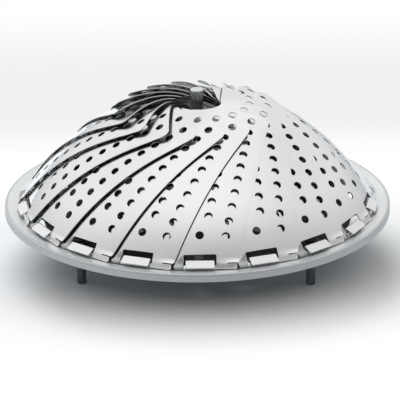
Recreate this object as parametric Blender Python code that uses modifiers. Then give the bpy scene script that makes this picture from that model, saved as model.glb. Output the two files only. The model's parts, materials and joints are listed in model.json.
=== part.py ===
# Folding steamer basket: a perforated dish on three legs, ringed by overlapping
# leaves. Each leaf is hinged on a tab pressed up from the dish, and all of them
# fold inward over each other into a dome around the centre post.
# Lengths are in metres, +Z is up, the front is -Y, and the origin lies on the
# surface that the basket stands on, under its centre.
import math

import bmesh
import bpy
from mathutils import Matrix, Vector

MM = 0.001
OBJECT_NAME = "folding_steamer_basket"

# Whole basket
RIM_RADIUS = 90.0 * MM
FLOOR_HEIGHT = 20.0 * MM
DISH_DEPTH = 10.3 * MM
LEAF_COUNT = 18
SEAT_GAP = 0.3 * MM
CUT_OVERRUN = 2.0 * MM
WELD = 0.01 * MM
SHARP_ANGLE = math.radians(30.0)

# Dish sheet, from the centre outward
DISH_SHEET = 0.6 * MM
RIM_HEIGHT = FLOOR_HEIGHT + DISH_DEPTH
FLANGE_WIDTH = 10.2 * MM
FLANGE_DROP = 2.45 * MM
FLANGE_INNER_RADIUS = RIM_RADIUS - FLANGE_WIDTH
FLANGE_INNER_HEIGHT = RIM_HEIGHT - FLANGE_DROP
WALL_RUN = 15.8 * MM
FLOOR_RADIUS = FLANGE_INNER_RADIUS - WALL_RUN
WALL_STEPS = 3
RIM_BEND_RADIUS = 0.7 * MM
RIM_BEND_START = math.radians(104.5)
RIM_BEND_STEPS = 2
SKIRT_HEIGHT = 3.7 * MM
SIDES_PER_LEAF = 2

# Holes of the dish floor: rings of 6, 12 and 18, as many as fit inside the legs
FLOOR_HOLE_RADIUS = 2.5 * MM
FLOOR_HOLE_SIDES = 6
FLOOR_RING_STEP = 16.0 * MM
FIRST_RING_HOLES = 6

# Hinge line of a leaf
HINGE_INSET = 8.2 * MM
HINGE_DROP = 0.15 * MM
HINGE_RADIUS = RIM_RADIUS - HINGE_INSET
HINGE_HEIGHT = RIM_HEIGHT - HINGE_DROP
HALF_PITCH = HINGE_RADIUS * math.tan(math.pi / LEAF_COUNT)
STRIP_HALF_HEIGHT = 0.85 * MM
STRIP_GAP = 0.35 * MM

# Hinge tabs of the dish and the slots that they are pressed from
TAB_WIDTH = 12.6 * MM
TAB_OVERHANG = 1.5 * MM
TAB_ROOT_INSET = 0.3 * MM
TAB_SLOPE = math.radians(26.9)
TAB_BEND_RADIUS = 0.6 * MM
TAB_BEND_STEPS = 2
SLOT_GAP = 0.4 * MM
SLOT_LENGTH = 7.0 * MM

# Leaf sheet, measured along the leaf from its hinge line. Folded in, it bends in
# one arc from the hinge to its tip, at the edge of the hole round the post.
LEAF_SHEET = 0.5 * MM
TIP_PLACE_RADIUS = 11.0 * MM
LEAF_BASE_SLOPE = math.radians(57.7)
LEAF_TIP_SLOPE = math.radians(9.6)
LEAF_REACH = HINGE_RADIUS - TIP_PLACE_RADIUS
LEAF_ARC_RADIUS = LEAF_REACH / (math.sin(LEAF_BASE_SLOPE) - math.sin(LEAF_TIP_SLOPE))
LEAF_LENGTH = LEAF_ARC_RADIUS * (LEAF_BASE_SLOPE - LEAF_TIP_SLOPE)
LEAF_FLARE = math.radians(11.7)
STRIP_OVERLAP = 1.8 * MM
HEEL_INSET = 2.9 * MM
FOOT_OVERLAP = 2.6 * MM
STRIP_HALF_WIDTH = HALF_PITCH + STRIP_OVERLAP
HEEL_HALF_WIDTH = HALF_PITCH - HEEL_INSET
BASE_HALF_WIDTH = HALF_PITCH + FOOT_OVERLAP
SLIT_BOTTOM = 1.6 * MM
SLIT_WIDTH = 0.4 * MM
SLIT_LENGTH = 5.0 * MM
SLIT_TOP = SLIT_BOTTOM + SLIT_WIDTH
HEEL_BOTTOM = 1.3 * MM
HEEL_TOP = 2.6 * MM
TIP_DEPTH = 8.2 * MM
SHOULDER_STATION = LEAF_LENGTH - TIP_DEPTH
SHOULDER_FILLET = 3.0 * MM
TIP_FILLET = 5.0 * MM
HEEL_FILLET = 1.0 * MM
STRIP_FILLET = 1.0 * MM
SLIT_FILLET = 0.15 * MM
FILLET_STEPS = 2
EDGE_STEP = 13.0 * MM
WINDOW_HALF_WIDTH = 7.2 * MM
WINDOW_TOP = 5.7 * MM

# The leaf is hollow across and turned a little about its own length, so that
# its right side lies over the next leaf and its left side under the last one,
# everywhere at the same spacing between the middles of the sheets.
CROSS_RADIUS = 90.0 * MM
TIP_CROSS_RADIUS = 60.0 * MM
LEAF_SPACING = 1.6 * MM
TILT_RISE = 2.0 * MM
HOLLOW_LEAD = 1.0 * MM
HOLLOW_RISE = 5.0 * MM

# Holes of a leaf
LEAF_HOLE_RADIUS = 1.85 * MM
LEAF_HOLE_SIDES = 4
FOOT_HOLE_STATION = 14.4 * MM
COLUMN_START = 13.85 * MM
COLUMN_PITCH = 7.0 * MM
COLUMN_EDGE_INSET = 8.0 * MM
COLUMN_SHOULDER_INSET = 1.5 * MM

# Legs, each with a riveted stud and a washer inside the dish
LEG_COUNT = 3
LEG_INSET = 3.1 * MM
LEG_PLACE_RADIUS = FLOOR_RADIUS - LEG_INSET
LEG_TURN = math.radians(-2.2)
LEG_RADIUS = 2.15 * MM
FOOT_CHAMFER = 0.6 * MM
COLLAR_RADIUS = 3.6 * MM
COLLAR_THICKNESS = 0.8 * MM
STUD_RADIUS = 1.5 * MM
STUD_GAP = 0.3 * MM
RIVET_RADIUS = 3.0 * MM
RIVET_HEIGHT = 1.2 * MM
RIVET_CROWN_SHARE = 0.55
LEG_WASHER_RADIUS = 4.4 * MM
LEG_WASHER_THICKNESS = 0.7 * MM
LEG_SIDES = 10

# Centre post, screwed through the dish floor into a nut
POST_RADIUS = 3.0 * MM
POST_REACH = 7.0 * MM
POST_CHAMFER = 0.6 * MM
POST_FLANGE_RADIUS = 7.0 * MM
POST_FLANGE_THICKNESS = 1.2 * MM
POST_STUD_RADIUS = 2.5 * MM
POST_STUD_REACH = 1.2 * MM
POST_SIDES = 16
NUT_RADIUS = 5.2 * MM
NUT_THICKNESS = 4.0 * MM
NUT_SIDES = 6
NUT_WASHER_RADIUS = 6.5 * MM
NUT_WASHER_THICKNESS = 0.8 * MM

# Finishes
POLISHED_COLOUR = (0.80, 0.81, 0.82)
PLAIN_COLOUR = (0.62, 0.63, 0.64)
LEG_COLOUR = (0.30, 0.31, 0.32)
DISH_ROUGHNESS = 0.22
LEAF_ROUGHNESS = 0.18
POST_ROUGHNESS = 0.20
LEG_ROUGHNESS = 0.30
FIXING_ROUGHNESS = 0.35


def start_scene():
    for item in list(bpy.data.objects):
        bpy.data.objects.remove(item, do_unlink=True)
    parts = bpy.data.collections.new(OBJECT_NAME)
    cutters = bpy.data.collections.new("cutters")
    for group in (parts, cutters):
        bpy.context.scene.collection.children.link(group)
    return parts, cutters


def steel(name, colour, roughness):
    material = bpy.data.materials.new(name)
    material.use_nodes = True
    shader = material.node_tree.nodes["Principled BSDF"]
    shader.inputs["Base Color"].default_value = (*colour, 1.0)
    shader.inputs["Metallic"].default_value = 1.0
    shader.inputs["Roughness"].default_value = roughness
    return material


def add_object(name, mesh, group):
    item = bpy.data.objects.new(name, mesh)
    group.objects.link(item)
    return item


def as_cutter(item):
    item.hide_render = True
    item.display_type = "WIRE"
    return item


def finish_mesh(item):
    # Applies the modifiers, welds loose caps and shades the round stretches.
    depsgraph = bpy.context.evaluated_depsgraph_get()
    mesh = bpy.data.meshes.new_from_object(item.evaluated_get(depsgraph))
    work = bmesh.new()
    work.from_mesh(mesh)
    bmesh.ops.remove_doubles(work, verts=work.verts, dist=WELD)
    bmesh.ops.recalc_face_normals(work, faces=work.faces)
    work.to_mesh(mesh)
    work.free()
    mesh.shade_smooth()
    mesh.set_sharp_from_angle(angle=SHARP_ANGLE)
    item.modifiers.clear()
    item.data = mesh
    return item


def turned(name, profile, sides, group, material, turn=0.0, closed=False):
    # A profile of (radius, height) points turned about +Z.
    mesh = bpy.data.meshes.new(name)
    spin = Matrix.Rotation(turn, 3, "Z")
    points = [spin @ Vector((radius, 0.0, height)) for radius, height in profile]
    edges = [(i, i + 1) for i in range(len(points) - 1)]
    if closed:
        edges.append((len(points) - 1, 0))
    mesh.from_pydata(points, edges, [])
    item = add_object(name, mesh, group)
    screw = item.modifiers.new("turn", "SCREW")
    screw.steps = screw.render_steps = sides
    screw.use_merge_vertices = True
    screw.merge_threshold = WELD
    finish_mesh(item)
    item.data.materials.append(material)
    return item


def sheet_section(path, thickness):
    # Both faces of a bent sheet whose middle runs along the path, mitred at its bends.
    upper, lower = [], []
    for i, point in enumerate(path):
        here = Vector(point)
        before = (here - Vector(path[i - 1])).normalized() if i else None
        after = (Vector(path[i + 1]) - here).normalized() if i + 1 < len(path) else None
        along = ((before or after) + (after or before)).normalized()
        across = Vector((-along.y, along.x))
        spread = across.dot(Vector((-(after or before).y, (after or before).x)))
        upper.append(here + across * (thickness / 2) / spread)
        lower.append(here - across * (thickness / 2) / spread)
    return upper + lower[::-1]


def bend(centre, radius, start, end, steps):
    # Points on an arc, both ends included.
    turns = [start + (end - start) * i / steps for i in range(steps + 1)]
    return [(centre[0] + radius * math.cos(a), centre[1] + radius * math.sin(a)) for a in turns]


def rounded_outline(corners, fillet_steps, longest):
    # A closed outline from (point, fillet radius) corners, its long straight
    # stretches divided so that they can be bent.
    outline = []
    for i, (point, radius) in enumerate(corners):
        here = Vector(point)
        to_last = (Vector(corners[i - 1][0]) - here).normalized()
        to_next = (Vector(corners[(i + 1) % len(corners)][0]) - here).normalized()
        half = to_last.angle(to_next) / 2
        centre = here + (to_last + to_next).normalized() * radius / math.sin(half)
        start = here + to_last * radius / math.tan(half) - centre
        end = here + to_next * radius / math.tan(half) - centre
        first = math.atan2(start.y, start.x)
        sweep = math.remainder(math.atan2(end.y, end.x) - first, math.tau)
        fillet = bend(centre, radius, first, first + sweep, fillet_steps)
        if outline:
            outline += divided(outline[-1], fillet[0], longest)
        outline += fillet
    return outline + divided(outline[-1], outline[0], longest)


def divided(start, end, longest):
    # Points between two others, at even steps no longer than given.
    count = math.ceil((Vector(end) - Vector(start)).length / longest)
    return [tuple(Vector(start).lerp(Vector(end), i / count)) for i in range(1, count)]


def flat_blank(name, outlines, thickness=0.0):
    # A flat outline with holes, filled as a 2D curve and given its thickness.
    curve = bpy.data.curves.new(name, "CURVE")
    curve.dimensions = "2D"
    curve.fill_mode = "BOTH"
    curve.extrude = thickness / 2
    for outline in outlines:
        spline = curve.splines.new("POLY")
        spline.points.add(len(outline) - 1)
        spline.use_cyclic_u = True
        for place, point in zip(spline.points, outline):
            place.co = (point[0], point[1], 0.0, 1.0)
    item = bpy.data.objects.new(name, curve)
    bpy.context.scene.collection.objects.link(item)
    depsgraph = bpy.context.evaluated_depsgraph_get()
    mesh = bpy.data.meshes.new_from_object(item.evaluated_get(depsgraph))
    bpy.data.objects.remove(item, do_unlink=True)
    return mesh


def ease(share):
    share = min(max(share, 0.0), 1.0)
    return share * share * (3.0 - 2.0 * share)


def around(index, count, turn=0.0):
    # Turn about +Z of one of a ring of equal pieces, the first at the front.
    return Matrix.Rotation(math.tau * index / count + turn, 4, "Z")


def leaf_edge(station):
    # Half width of the leaf at a distance along it.
    return BASE_HALF_WIDTH + math.tan(LEAF_FLARE) * (station - SLIT_TOP)


def leaf_outline():
    # A slit frees the right side from the hinge strip, and the left side has a heel
    # that stops short of the last leaf's strip.
    shoulder = leaf_edge(SHOULDER_STATION)
    slit_end = BASE_HALF_WIDTH - SLIT_LENGTH
    corners = [
        ((STRIP_HALF_WIDTH, -STRIP_HALF_HEIGHT), STRIP_FILLET),
        ((STRIP_HALF_WIDTH, SLIT_BOTTOM), SLIT_FILLET),
        ((slit_end, SLIT_BOTTOM), SLIT_FILLET),
        ((slit_end, SLIT_TOP), SLIT_FILLET),
        ((BASE_HALF_WIDTH, SLIT_TOP), STRIP_FILLET),
        ((shoulder, SHOULDER_STATION), SHOULDER_FILLET),
        ((0.0, LEAF_LENGTH), TIP_FILLET),
        ((-shoulder, SHOULDER_STATION), SHOULDER_FILLET),
        ((-leaf_edge(HEEL_TOP), HEEL_TOP), HEEL_FILLET),
        ((-HEEL_HALF_WIDTH, HEEL_BOTTOM), HEEL_FILLET),
        ((-HEEL_HALF_WIDTH, -STRIP_HALF_HEIGHT), HEEL_FILLET),
    ]
    return rounded_outline(corners, FILLET_STEPS, EDGE_STEP)


def leaf_window():
    return [
        (-WINDOW_HALF_WIDTH, STRIP_HALF_HEIGHT),
        (WINDOW_HALF_WIDTH, STRIP_HALF_HEIGHT),
        (WINDOW_HALF_WIDTH, WINDOW_TOP),
        (-WINDOW_HALF_WIDTH, WINDOW_TOP),
    ]


def leaf_holes():
    # One hole at the foot and a column along each side edge, up to the shoulder.
    centres = [(0.0, FOOT_HOLE_STATION)]
    column = SHOULDER_STATION - COLUMN_SHOULDER_INSET - COLUMN_START
    for row in range(int(column / COLUMN_PITCH) + 1):
        station = COLUMN_START + COLUMN_PITCH * row
        offset = leaf_edge(station) - COLUMN_EDGE_INSET
        centres += [(offset, station), (-offset, station)]
    corner = math.tau / LEAF_HOLE_SIDES
    reach = LEAF_HOLE_RADIUS * math.sqrt(corner / math.sin(corner))
    return [bend(centre, reach, corner, math.tau, LEAF_HOLE_SIDES - 1) for centre in centres]


def arc_place(station):
    # Slope, reach inward and rise of the leaf's middle line at a distance along it.
    slope = LEAF_BASE_SLOPE - station / LEAF_ARC_RADIUS
    inward = LEAF_ARC_RADIUS * (math.sin(LEAF_BASE_SLOPE) - math.sin(slope))
    height = LEAF_ARC_RADIUS * (math.cos(slope) - math.cos(LEAF_BASE_SLOPE))
    return slope, inward, height


def pressed(across, station):
    # The flat leaf's point carried to its pressed form, about the hinge line:
    # each cross line is an arc, turned so that a leaf's pitch along it lifts the
    # sheet by the spacing.
    share = station / LEAF_LENGTH
    slope, inward, height = arc_place(station)
    pitch = 2 * HALF_PITCH * (HINGE_RADIUS - inward) / HINGE_RADIUS
    tilt = math.asin(LEAF_SPACING / pitch) * ease(station / TILT_RISE)
    hollow = ease((station + HOLLOW_LEAD) / HOLLOW_RISE) / CROSS_RADIUS
    hollow *= 1.0 + (CROSS_RADIUS / TIP_CROSS_RADIUS - 1.0) * share ** 3
    turn = hollow * across
    side = across * (math.sin(turn) / turn if turn else 1.0)
    drop = -across * math.tan(turn / 2) * (math.sin(turn) / turn if turn else 1.0)
    lateral = side * math.cos(tilt) - drop * math.sin(tilt)
    outward = side * math.sin(tilt) + drop * math.cos(tilt)
    return Vector((lateral, inward - outward * math.sin(slope), height + outward * math.cos(slope)))


def leaf_mesh():
    # The flat blank is divided along its middle and across its foot, where no hole
    # bends it, then pressed.
    mesh = flat_blank("leaf_blank", [leaf_outline(), leaf_window()] + leaf_holes())
    work = bmesh.new()
    work.from_mesh(mesh)
    bmesh.ops.remove_doubles(work, verts=work.verts, dist=WELD)
    bmesh.ops.beautify_fill(work, faces=work.faces, edges=work.edges)
    across, along = (1.0, 0.0, 0.0), (0.0, 1.0, 0.0)
    for station, normal in ((0.0, across), (TILT_RISE, along), (WINDOW_TOP, along)):
        geometry = work.verts[:] + work.edges[:] + work.faces[:]
        cut = {"plane_co": (0.0, station, 0.0), "plane_no": normal, "dist": WELD}
        bmesh.ops.bisect_plane(work, geom=geometry, **cut)
    bmesh.ops.triangulate(work, faces=work.faces)
    bmesh.ops.beautify_fill(work, faces=work.faces, edges=work.edges)
    for vertex in work.verts:
        vertex.co = pressed(vertex.co.x, vertex.co.y)
    bmesh.ops.recalc_face_normals(work, faces=work.faces)
    work.to_mesh(mesh)
    work.free()
    return mesh


def make_leaves(parts, material):
    # Every leaf shares one mesh, whose origin lies on the leaf's hinge line.
    pattern = add_object("leaf_pattern", leaf_mesh(), parts)
    shell = pattern.modifiers.new("sheet", "SOLIDIFY")
    shell.thickness = LEAF_SHEET
    shell.offset = 0.0
    shell.use_even_offset = True
    mesh = finish_mesh(pattern).data
    mesh.materials.append(material)
    bpy.data.objects.remove(pattern, do_unlink=True)
    hinge = Matrix.Translation((0.0, -HINGE_RADIUS, HINGE_HEIGHT))
    for index in range(LEAF_COUNT):
        leaf = add_object(f"leaf_{index + 1:02d}", mesh, parts)
        leaf.matrix_world = around(index, LEAF_COUNT) @ hinge


def dish_path():
    # The middle of the dish sheet, from its centre over the rim and down the skirt.
    middle = DISH_SHEET / 2
    floor = FLOOR_HEIGHT + middle
    flange = FLANGE_INNER_HEIGHT - middle
    path = [(0.0, floor)]
    for step in range(WALL_STEPS + 1):
        share = step / WALL_STEPS
        radius = FLOOR_RADIUS + (FLANGE_INNER_RADIUS - FLOOR_RADIUS) * share
        path.append((radius, floor + (flange - floor) * share ** 2))
    outer = RIM_RADIUS - middle
    centre = (outer - RIM_BEND_RADIUS, RIM_HEIGHT - middle - RIM_BEND_RADIUS)
    path += bend(centre, RIM_BEND_RADIUS, RIM_BEND_START, 0.0, RIM_BEND_STEPS)
    path.append((outer, RIM_HEIGHT - SKIRT_HEIGHT))
    return path


def tab_path():
    # The middle of a tab's sheet: up from the dish, round its bend and down
    # outward over the leaf's bottom strip.
    strip_reach = math.hypot(STRIP_HALF_HEIGHT, LEAF_SHEET / 2)
    clear = strip_reach + STRIP_GAP + DISH_SHEET / 2
    root = FLANGE_INNER_RADIUS - TAB_ROOT_INSET
    square = math.pi / 2 - TAB_SLOPE
    centre_radius = root + TAB_BEND_RADIUS
    lift = (clear - TAB_BEND_RADIUS + (HINGE_RADIUS - centre_radius) * math.cos(square)) / math.sin(square)
    centre = (centre_radius, HINGE_HEIGHT + lift)
    path = [(root, FLANGE_INNER_HEIGHT - DISH_SHEET / 2)]
    path += bend(centre, TAB_BEND_RADIUS, math.pi, square, TAB_BEND_STEPS)
    end = HINGE_RADIUS + TAB_OVERHANG
    fall = (end - path[-1][0]) * math.tan(TAB_SLOPE)
    path.append((end, path[-1][1] - fall))
    return path


def add_prism(work, outline, width, place):
    # An outline of (outward, up) points at the front, swept across by a width.
    corners = [work.verts.new(place @ Vector((-width / 2, -out, up))) for out, up in outline]
    face = work.faces.new(corners)
    swept = bmesh.ops.extrude_face_region(work, geom=[face])["geom"]
    moved = [item for item in swept if isinstance(item, bmesh.types.BMVert)]
    bmesh.ops.translate(work, verts=moved, vec=place.to_3x3() @ Vector((width, 0.0, 0.0)))


def add_peg(work, radius, bottom, top, sides, place):
    # A cutter for a round hole along +Z, turned so that no corner points outward.
    half_side = Matrix.Rotation(math.pi / sides, 4, "Z")
    middle = place @ Matrix.Translation((0.0, 0.0, (bottom + top) / 2)) @ half_side
    round_end = {"cap_ends": True, "segments": sides, "radius1": radius, "radius2": radius}
    bmesh.ops.create_cone(work, depth=top - bottom, matrix=middle, **round_end)


def tool_object(name, work, cutters):
    bmesh.ops.recalc_face_normals(work, faces=work.faces)
    mesh = bpy.data.meshes.new(name)
    work.to_mesh(mesh)
    work.free()
    return as_cutter(add_object(name, mesh, cutters))


def dish_cuts(cutters):
    # Slots that the tabs leave behind, rings of holes, and the fixings' holes.
    work = bmesh.new()
    bottom = FLOOR_HEIGHT - CUT_OVERRUN
    top = FLOOR_HEIGHT + DISH_SHEET + CUT_OVERRUN
    slot_end = FLANGE_INNER_RADIUS - TAB_ROOT_INSET - DISH_SHEET / 2 - SLOT_GAP
    slot_start = slot_end - SLOT_LENGTH
    slot_top = FLANGE_INNER_HEIGHT + CUT_OVERRUN
    slot = [(slot_start, bottom), (slot_end, bottom), (slot_end, slot_top), (slot_start, slot_top)]
    for index in range(LEAF_COUNT):
        add_prism(work, slot, TAB_WIDTH, around(index, LEAF_COUNT))
    clear_floor = LEG_PLACE_RADIUS - LEG_WASHER_RADIUS - FLOOR_HOLE_RADIUS
    for ring in range(1, int(clear_floor / FLOOR_RING_STEP) + 1):
        out = Matrix.Translation((0.0, -FLOOR_RING_STEP * ring, 0.0))
        count = FIRST_RING_HOLES * ring
        for index in range(count):
            add_peg(work, FLOOR_HOLE_RADIUS, bottom, top, FLOOR_HOLE_SIDES, around(index, count) @ out)
    for place in leg_places():
        add_peg(work, STUD_RADIUS + STUD_GAP, bottom, top, LEG_SIDES, place)
    add_peg(work, POST_STUD_RADIUS + STUD_GAP, bottom, top, POST_SIDES, Matrix.Identity(4))
    return tool_object("dish_cuts", work, cutters)


def dish_tabs(cutters):
    work = bmesh.new()
    section = sheet_section(tab_path(), DISH_SHEET)
    for index in range(LEAF_COUNT):
        add_prism(work, section, TAB_WIDTH, around(index, LEAF_COUNT))
    return tool_object("dish_tabs", work, cutters)


def make_dish(parts, cutters, material):
    sides = LEAF_COUNT * SIDES_PER_LEAF
    dish = turned("dish", sheet_section(dish_path(), DISH_SHEET), sides, parts, material, math.pi / sides)
    for operation, tool in (("DIFFERENCE", dish_cuts(cutters)), ("UNION", dish_tabs(cutters))):
        step = dish.modifiers.new(operation.lower(), "BOOLEAN")
        step.operation = operation
        step.solver = "EXACT"
        step.object = tool
    return dish


def leg_places():
    out = Matrix.Translation((0.0, -LEG_PLACE_RADIUS, 0.0))
    back = math.pi + LEG_TURN
    return [around(index, LEG_COUNT, back) @ out for index in range(LEG_COUNT)]


def make_legs(parts, leg_material, washer_material):
    # A rod with a collar under the dish and a stud peened over inside it.
    collar_top = FLOOR_HEIGHT - SEAT_GAP
    collar_bottom = collar_top - COLLAR_THICKNESS
    washer_bottom = FLOOR_HEIGHT + DISH_SHEET + SEAT_GAP
    washer_top = washer_bottom + LEG_WASHER_THICKNESS
    head_bottom = washer_top + SEAT_GAP
    head_top = head_bottom + RIVET_HEIGHT
    rod = [
        (0.0, head_top),
        (RIVET_RADIUS * RIVET_CROWN_SHARE, head_top),
        (RIVET_RADIUS, head_bottom + RIVET_HEIGHT * RIVET_CROWN_SHARE),
        (RIVET_RADIUS, head_bottom),
        (STUD_RADIUS, head_bottom),
        (STUD_RADIUS, collar_top),
        (COLLAR_RADIUS, collar_top),
        (COLLAR_RADIUS, collar_bottom),
        (LEG_RADIUS, collar_bottom),
        (LEG_RADIUS, FOOT_CHAMFER),
        (LEG_RADIUS - FOOT_CHAMFER, 0.0),
        (0.0, 0.0),
    ]
    bore = STUD_RADIUS + STUD_GAP
    washer = [
        (bore, washer_top),
        (LEG_WASHER_RADIUS, washer_top),
        (LEG_WASHER_RADIUS, washer_bottom),
        (bore, washer_bottom),
    ]
    for index, place in enumerate(leg_places()):
        leg = turned(f"leg_{index + 1}", rod, LEG_SIDES, parts, leg_material)
        ring = turned(f"leg_washer_{index + 1}", washer, LEG_SIDES, parts, washer_material, closed=True)
        for item in (leg, ring):
            item.matrix_world = place


def make_post(parts, post_material, washer_material, nut_material):
    # The post stands on its flange and rises above the leaf tips; its stud runs
    # down into the nut.
    post_top = HINGE_HEIGHT + arc_place(LEAF_LENGTH)[2] + POST_REACH
    flange_bottom = FLOOR_HEIGHT + DISH_SHEET + SEAT_GAP
    flange_top = flange_bottom + POST_FLANGE_THICKNESS
    washer_top = FLOOR_HEIGHT - SEAT_GAP
    washer_bottom = washer_top - NUT_WASHER_THICKNESS
    nut_middle = washer_bottom - SEAT_GAP - NUT_THICKNESS / 2
    stud_bottom = nut_middle - NUT_THICKNESS / 2 - POST_STUD_REACH
    bore = POST_STUD_RADIUS + STUD_GAP
    post = [
        (0.0, post_top),
        (POST_RADIUS - POST_CHAMFER, post_top),
        (POST_RADIUS, post_top - POST_CHAMFER),
        (POST_RADIUS, flange_top),
        (POST_FLANGE_RADIUS, flange_top),
        (POST_FLANGE_RADIUS, flange_bottom),
        (POST_STUD_RADIUS, flange_bottom),
        (POST_STUD_RADIUS, stud_bottom),
        (0.0, stud_bottom),
    ]
    washer = [
        (bore, washer_top),
        (NUT_WASHER_RADIUS, washer_top),
        (NUT_WASHER_RADIUS, washer_bottom),
        (bore, washer_bottom),
    ]
    turned("centre_post", post, POST_SIDES, parts, post_material)
    turned("post_washer", washer, POST_SIDES, parts, washer_material, closed=True)
    hexagon = bend((0.0, 0.0), NUT_RADIUS, math.tau / NUT_SIDES, math.tau, NUT_SIDES - 1)
    hole = bend((0.0, 0.0), bore, math.tau / POST_SIDES, math.tau, POST_SIDES - 1)
    nut = add_object("post_nut", flat_blank("post_nut", [hexagon, hole], NUT_THICKNESS), parts)
    finish_mesh(nut).data.materials.append(nut_material)
    nut.location.z = nut_middle


def main():
    parts, cutters = start_scene()
    make_dish(parts, cutters, steel("dish_steel", POLISHED_COLOUR, DISH_ROUGHNESS))
    make_leaves(parts, steel("leaf_steel", POLISHED_COLOUR, LEAF_ROUGHNESS))
    leg_steel = steel("leg_steel", LEG_COLOUR, LEG_ROUGHNESS)
    make_legs(parts, leg_steel, steel("washer_steel", PLAIN_COLOUR, FIXING_ROUGHNESS))
    post_steel = steel("post_steel", POLISHED_COLOUR, POST_ROUGHNESS)
    post_washer_steel = steel("post_washer_steel", PLAIN_COLOUR, FIXING_ROUGHNESS)
    make_post(parts, post_steel, post_washer_steel, steel("nut_steel", PLAIN_COLOUR, FIXING_ROUGHNESS))


main()
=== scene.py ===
# Folding steamer basket for its portrait: fine leaves, dish, tabs, legs and post
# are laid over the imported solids, and each one rides on its own body.
import json
import math

import bpy
import numpy as np
from mathutils import Matrix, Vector
from mathutils.geometry import delaunay_2d_cdt

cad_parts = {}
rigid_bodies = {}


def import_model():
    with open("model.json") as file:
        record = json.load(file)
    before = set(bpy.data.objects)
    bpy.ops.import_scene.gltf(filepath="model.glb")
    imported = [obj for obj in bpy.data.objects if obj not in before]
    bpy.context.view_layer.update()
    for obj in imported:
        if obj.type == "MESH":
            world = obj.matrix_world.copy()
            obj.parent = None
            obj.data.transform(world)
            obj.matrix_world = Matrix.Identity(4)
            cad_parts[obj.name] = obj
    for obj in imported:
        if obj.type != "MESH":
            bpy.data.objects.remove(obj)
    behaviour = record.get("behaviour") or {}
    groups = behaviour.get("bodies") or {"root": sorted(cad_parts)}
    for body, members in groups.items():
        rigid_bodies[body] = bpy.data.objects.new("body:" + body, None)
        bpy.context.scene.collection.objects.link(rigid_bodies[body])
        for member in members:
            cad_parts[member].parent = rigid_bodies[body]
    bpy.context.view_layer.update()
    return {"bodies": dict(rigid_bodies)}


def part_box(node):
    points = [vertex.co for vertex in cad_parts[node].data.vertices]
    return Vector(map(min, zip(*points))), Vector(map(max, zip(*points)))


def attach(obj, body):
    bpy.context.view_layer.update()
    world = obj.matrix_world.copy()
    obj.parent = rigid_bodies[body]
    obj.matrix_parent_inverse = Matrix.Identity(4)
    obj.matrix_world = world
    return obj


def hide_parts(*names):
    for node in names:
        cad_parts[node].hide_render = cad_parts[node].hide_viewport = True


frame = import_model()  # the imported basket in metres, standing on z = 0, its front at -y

mm = 0.001
degrees = math.pi / 180
small = 0.001 * mm  # the step over which a slope is taken
mapScale = 10.0  # the maps of the surfaces are in tenths of a metre
sharpAngle = 32 * degrees  # a bend past this shows as an edge
filletSteps = 4
leafNames = sorted(name for name in frame["bodies"] if name.startswith("leaf_"))
leafPitch = 2 * math.pi / len(leafNames)


# Plane geometry

def unit(vectors):
    return vectors / np.linalg.norm(vectors, axis=-1, keepdims=True)


def leftOf(travel):
    return np.stack([-travel[..., 1], travel[..., 0]], -1)


def ease(share):
    share = np.clip(share, 0, 1)
    return share * share * (3 - 2 * share)


def filleted(corners, steps, closed):
    # A path through corners (a, b, fillet). Each corner becomes an arc tangent to both of
    # its sides: points = centre -+ radius * left of travel, as the travel turns evenly.
    corners = np.array(corners, float)
    places, radii = corners[:, :2], corners[:, 2]
    back = unit(np.roll(places, 1, 0) - places)
    ahead = unit(np.roll(places, -1, 0) - places)
    if not closed:
        back[0], ahead[-1] = -ahead[0], -back[-1]
        radii = radii * np.r_[0, np.ones(len(radii) - 2), 0]
    first = np.arctan2(-back[:, 1], -back[:, 0])
    sweep = np.arctan2(ahead[:, 1], ahead[:, 0]) - first
    sweep = (sweep + math.pi) % (2 * math.pi) - math.pi
    angles = first[:, None] + sweep[:, None] * np.linspace(0, 1, steps + 1)
    travel = np.stack([np.cos(angles), np.sin(angles)], -1)
    starts = places + back * (radii * np.abs(np.tan(sweep / 2)))[:, None]
    side = (np.sign(sweep) * radii)[:, None]
    centres = starts + leftOf(travel[:, 0]) * side
    arcs = centres[:, None] - leftOf(travel) * side[:, None]
    if closed:
        return arcs.reshape(-1, 2), travel.reshape(-1, 2)
    rows = [slice(0, 1)] + [slice(None)] * (len(arcs) - 2) + [slice(0, 1)]
    points = np.concatenate([arc[row] for arc, row in zip(arcs, rows)])
    return points, np.concatenate([way[row] for way, row in zip(travel, rows)])


def outlineOf(corners, steps, longest):
    # The same rounded corners closed into an outline, its straight runs cut into short ones.
    arcs = filleted(corners, steps, True)[0].reshape(len(corners), -1, 2)
    outline = []
    for arc, goal in zip(arcs, np.roll(arcs[:, 0], -1, 0)):
        count = max(1, math.ceil(np.linalg.norm(goal - arc[-1]) / longest))
        shares = np.arange(1, count)[:, None] / count
        outline += [arc, arc[-1] + (goal - arc[-1]) * shares]
    return np.concatenate(outline)


def roundHoles(centres, radius, sides):
    # Circles run clockwise, so that their outward side is the empty one.
    turns = -np.arange(sides) * 2 * math.pi / sides
    circle = radius * np.column_stack([np.cos(turns), np.sin(turns)])
    return [centre + circle for centre in centres]


def insideOf(points, outlines):
    # Even-odd rule: a ray to the right crosses the outlines an odd number of times.
    crossings = np.zeros(len(points), int)
    x, y = points[:, 0, None], points[:, 1, None]
    for outline in outlines:
        a, b = outline, np.roll(outline, -1, 0)
        straddles = (a[:, 1] > y) != (b[:, 1] > y)
        rise = np.where(a[:, 1] == b[:, 1], 1, b[:, 1] - a[:, 1])
        reach = a[:, 0] + (y - a[:, 1]) * (b[:, 0] - a[:, 0]) / rise
        crossings += (straddles & (x < reach)).sum(1)
    return crossings % 2 == 1


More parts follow.
